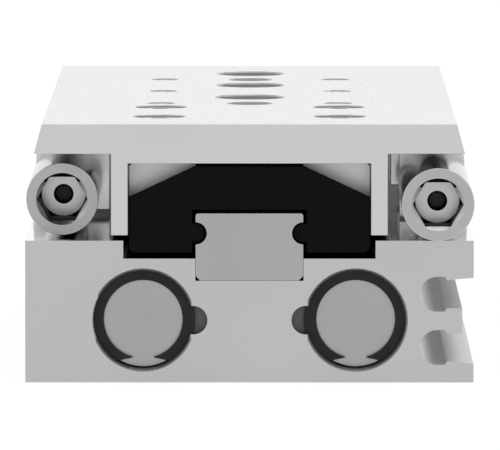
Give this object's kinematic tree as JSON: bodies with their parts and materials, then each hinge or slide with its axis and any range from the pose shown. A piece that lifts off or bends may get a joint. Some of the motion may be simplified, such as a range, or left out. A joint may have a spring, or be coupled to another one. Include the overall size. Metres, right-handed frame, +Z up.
{
  "type": "pneumatic slide table",
  "caption": "Compact linear actuator: twin air cylinders in a flat housing drive a table on a ball rail, with adjustable cushioned end stops.",
  "frame": {"origin": "centre of the housing's base face", "axes": "+Y the way the table advances, away from the rear caps; +X to the right seen from the rear, towards the sensor slots; +Z up through the table"},
  "size_m": [0.086, 0.1878, 0.0497],
  "materials": {
    "housing_aluminium": "clear anodised, satin",
    "table_aluminium": "clear anodised, finely milled",
    "rail_steel": "ground",
    "carriage_steel": "ground",
    "cap_aluminium": "turned, anodised",
    "black_plastic": "moulded",
    "wiper_rubber": "moulded",
    "spring_steel": "blackened",
    "bright_sleeve": "polished, turned end face",
    "absorber_steel": "plated",
    "hard_chrome": "polished",
    "piston_aluminium": "turned",
    "seal_rubber": "nitrile",
    "magnet": "bonded ferrite",
    "screw_black": "black oxide",
    "screw_bright": "zinc plated",
    "stop_aluminium": "clear anodised",
    "gland_bronze": "turned bearing bronze"
  },
  "bodies": {
    "base": {"housing": "housing_aluminium", "guide_rail": "rail_steel", "rail_screws": "screw_black", "rear_cap_left": "cap_aluminium", "rear_cap_right": "cap_aluminium", "rear_cap_o_ring_left": "seal_rubber", "rear_cap_o_ring_right": "seal_rubber", "rear_circlip_left": "spring_steel", "rear_circlip_right": "spring_steel", "rod_gland_left": "gland_bronze", "rod_gland_right": "gland_bronze", "gland_o_ring_left": "seal_rubber", "gland_o_ring_right": "seal_rubber", "rod_seal_left": "seal_rubber", "rod_seal_right": "seal_rubber", "front_circlip_left": "spring_steel", "front_circlip_right": "spring_steel", "retract_stop_block": "stop_aluminium", "retract_block_screws": "screw_black", "retract_lock_sleeve": "bright_sleeve", "retract_shock_absorber": "absorber_steel", "advance_strike_block": "stop_aluminium", "strike_block_screw": "screw_black"},
    "table": {"slide_table": "table_aluminium", "table_screws": "screw_bright", "carriage_block": "carriage_steel", "end_cap_rear": "black_plastic", "end_cap_front": "black_plastic", "wiper_seal_rear": "wiper_rubber", "wiper_seal_front": "wiper_rubber", "carriage_balls_left": "hard_chrome", "carriage_balls_right": "hard_chrome", "yoke_plate": "table_aluminium", "yoke_screws": "screw_black", "yoke_dowels": "hard_chrome", "rod_screws": "screw_black", "piston_rod_left": "hard_chrome", "piston_rod_right": "hard_chrome", "piston_left": "piston_aluminium", "piston_right": "piston_aluminium", "piston_nut_left": "screw_bright", "piston_nut_right": "screw_bright", "piston_magnet_left": "magnet", "piston_magnet_right": "magnet", "piston_seals_left": "seal_rubber", "piston_seals_right": "seal_rubber", "advance_stop_bracket": "stop_aluminium", "advance_bracket_screws": "screw_black", "advance_lock_sleeve": "bright_sleeve", "advance_shock_absorber": "absorber_steel", "retract_striker": "stop_aluminium", "striker_screws": "screw_black"},
    "retract_cushion_plunger": {"retract_plunger": "hard_chrome"},
    "advance_cushion_plunger": {"advance_plunger": "hard_chrome"}
  },
  "joints": [
    {"name": "table_slide", "type": "slide", "parent": "base", "child": "table", "axis": [0, 1, 0], "range_m": [0, 0.08]},
    {"name": "retract_cushion", "type": "slide", "parent": "base", "child": "retract_cushion_plunger", "axis": [0, -1, 0], "range_m": [0, 0.005], "stiffness_N_per_m": 600, "springref_m": -0.001},
    {"name": "advance_cushion", "type": "slide", "parent": "table", "child": "advance_cushion_plunger", "axis": [0, -1, 0], "range_m": [0, 0.005], "stiffness_N_per_m": 600, "springref_m": -0.001}
  ]
}
